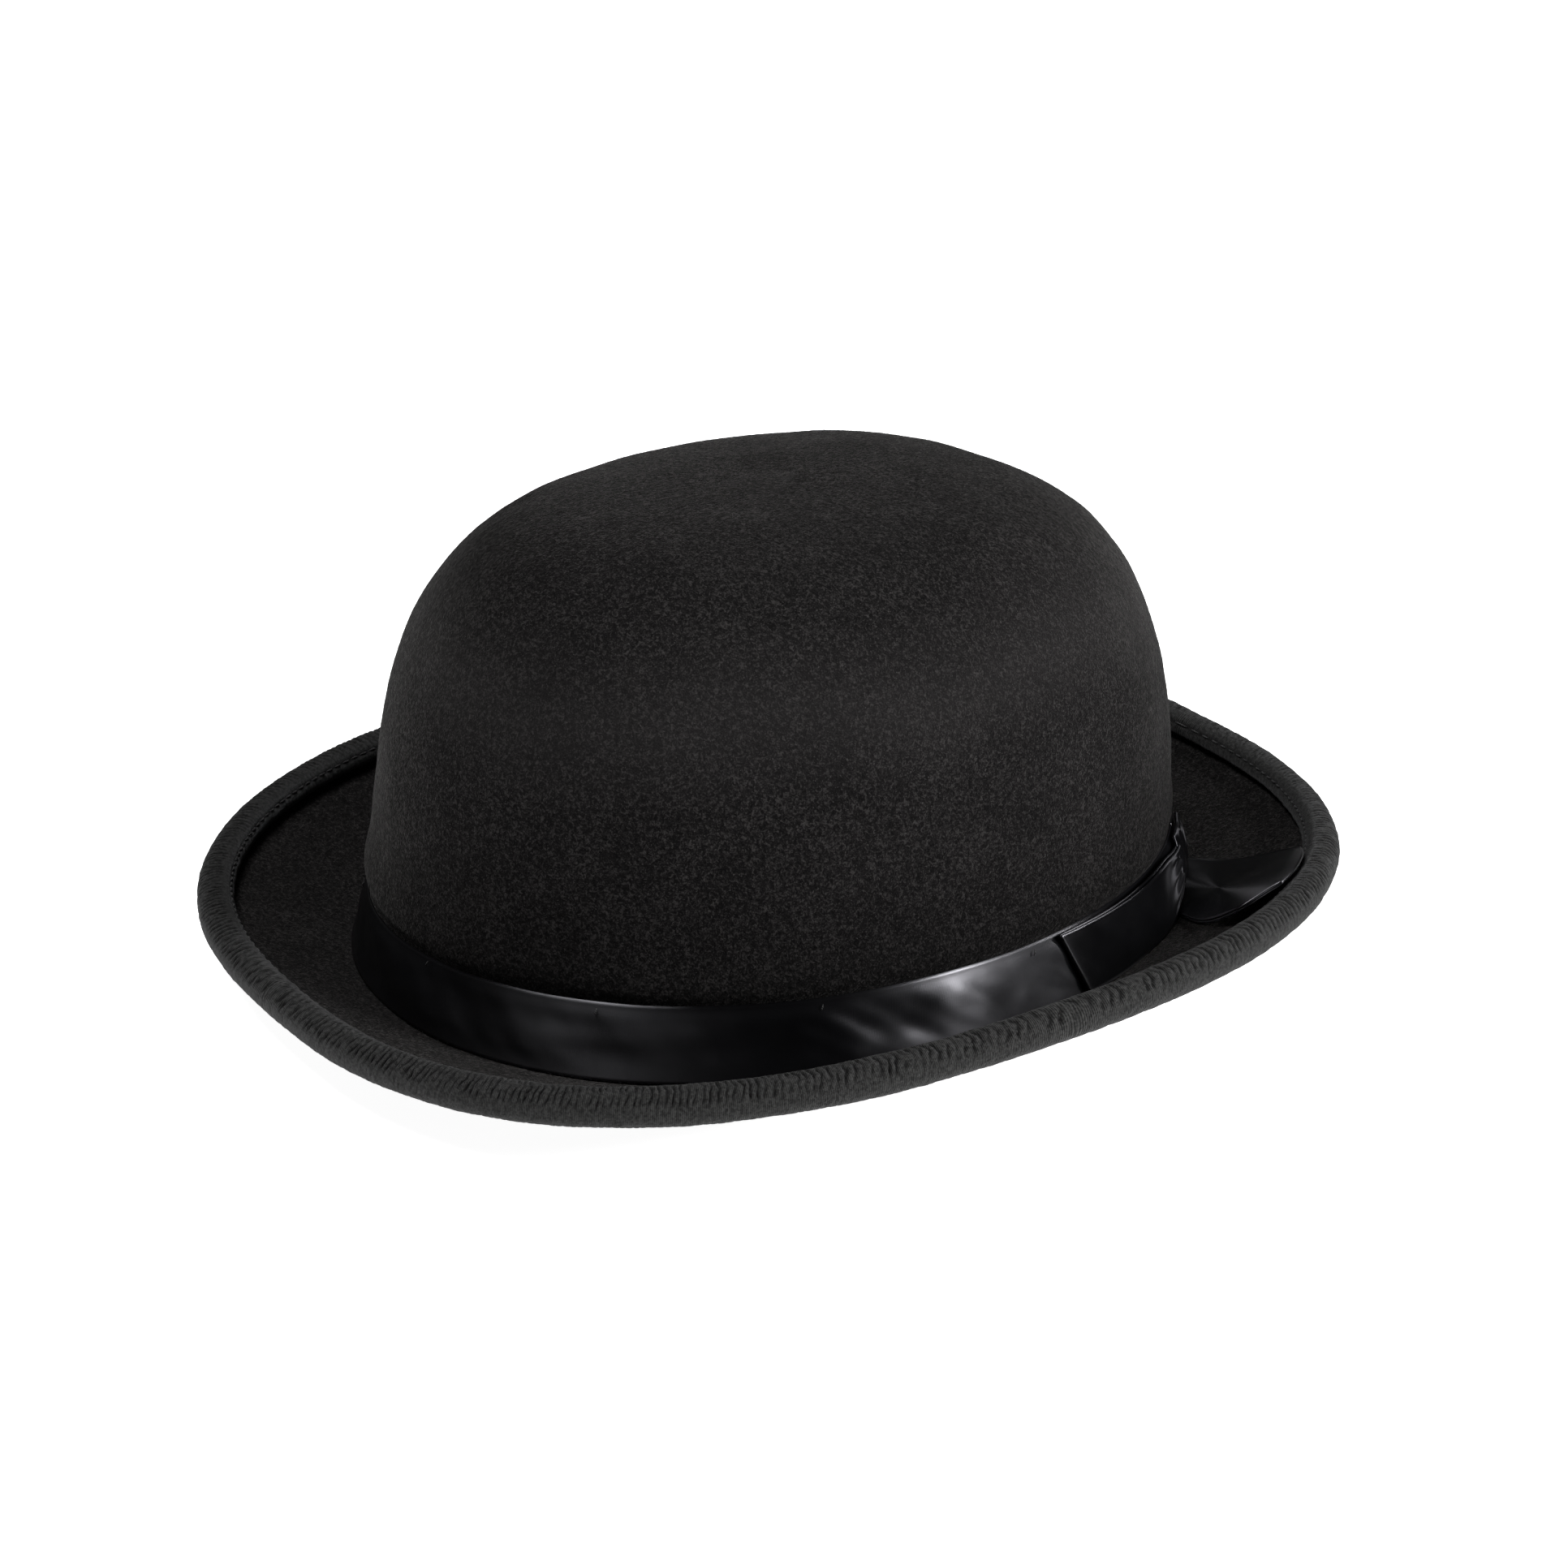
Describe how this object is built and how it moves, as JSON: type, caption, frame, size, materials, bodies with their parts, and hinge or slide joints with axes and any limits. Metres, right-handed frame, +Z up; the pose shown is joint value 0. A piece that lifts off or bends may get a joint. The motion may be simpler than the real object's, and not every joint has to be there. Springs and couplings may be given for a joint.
{
  "type": "bowler hat",
  "caption": "Stiff felt bowler hat with a domed crown, curled bound brim, satin band with side bow, leather sweatband and lining",
  "frame": {"origin": "on the surface the hat stands on, under the middle of the brim", "axes": "+Z up through the crown; +Y towards the back of the hat, so the wearer looks along -Y; +X to the wearer's left, where the bow is"},
  "size_m": [0.2354, 0.2824, 0.114],
  "materials": {
    "felt": "brushed wool felt with a short nap",
    "wire": "drawn wire",
    "binding": "ribbed grosgrain tape",
    "thread": "twisted sewing thread",
    "satin": "glossy satin ribbon",
    "sweatband_leather": "smooth dark brown leather",
    "reed": "natural extruded cord",
    "label": "woven, blank",
    "lining": "lining satin"
  },
  "bodies": {
    "root": {"felt_body": "felt", "brim_wire": "wire", "wire_joiner": "wire", "edge_binding": "binding", "binding_stitches": "thread", "hat_band": "satin", "band_stitches": "thread", "bow_front_wing": "satin", "bow_rear_wing": "satin", "bow_knot": "satin", "bow_stitches": "thread", "sweatband": "sweatband_leather", "sweatband_back_stitches": "thread", "sweatband_reed": "reed", "reed_tape": "binding", "sweatband_stitches": "thread", "sweatband_bow": "satin", "size_label": "label", "lining_side": "lining", "lining_tip": "lining", "lining_stitches": "thread"}
  },
  "joints": []
}
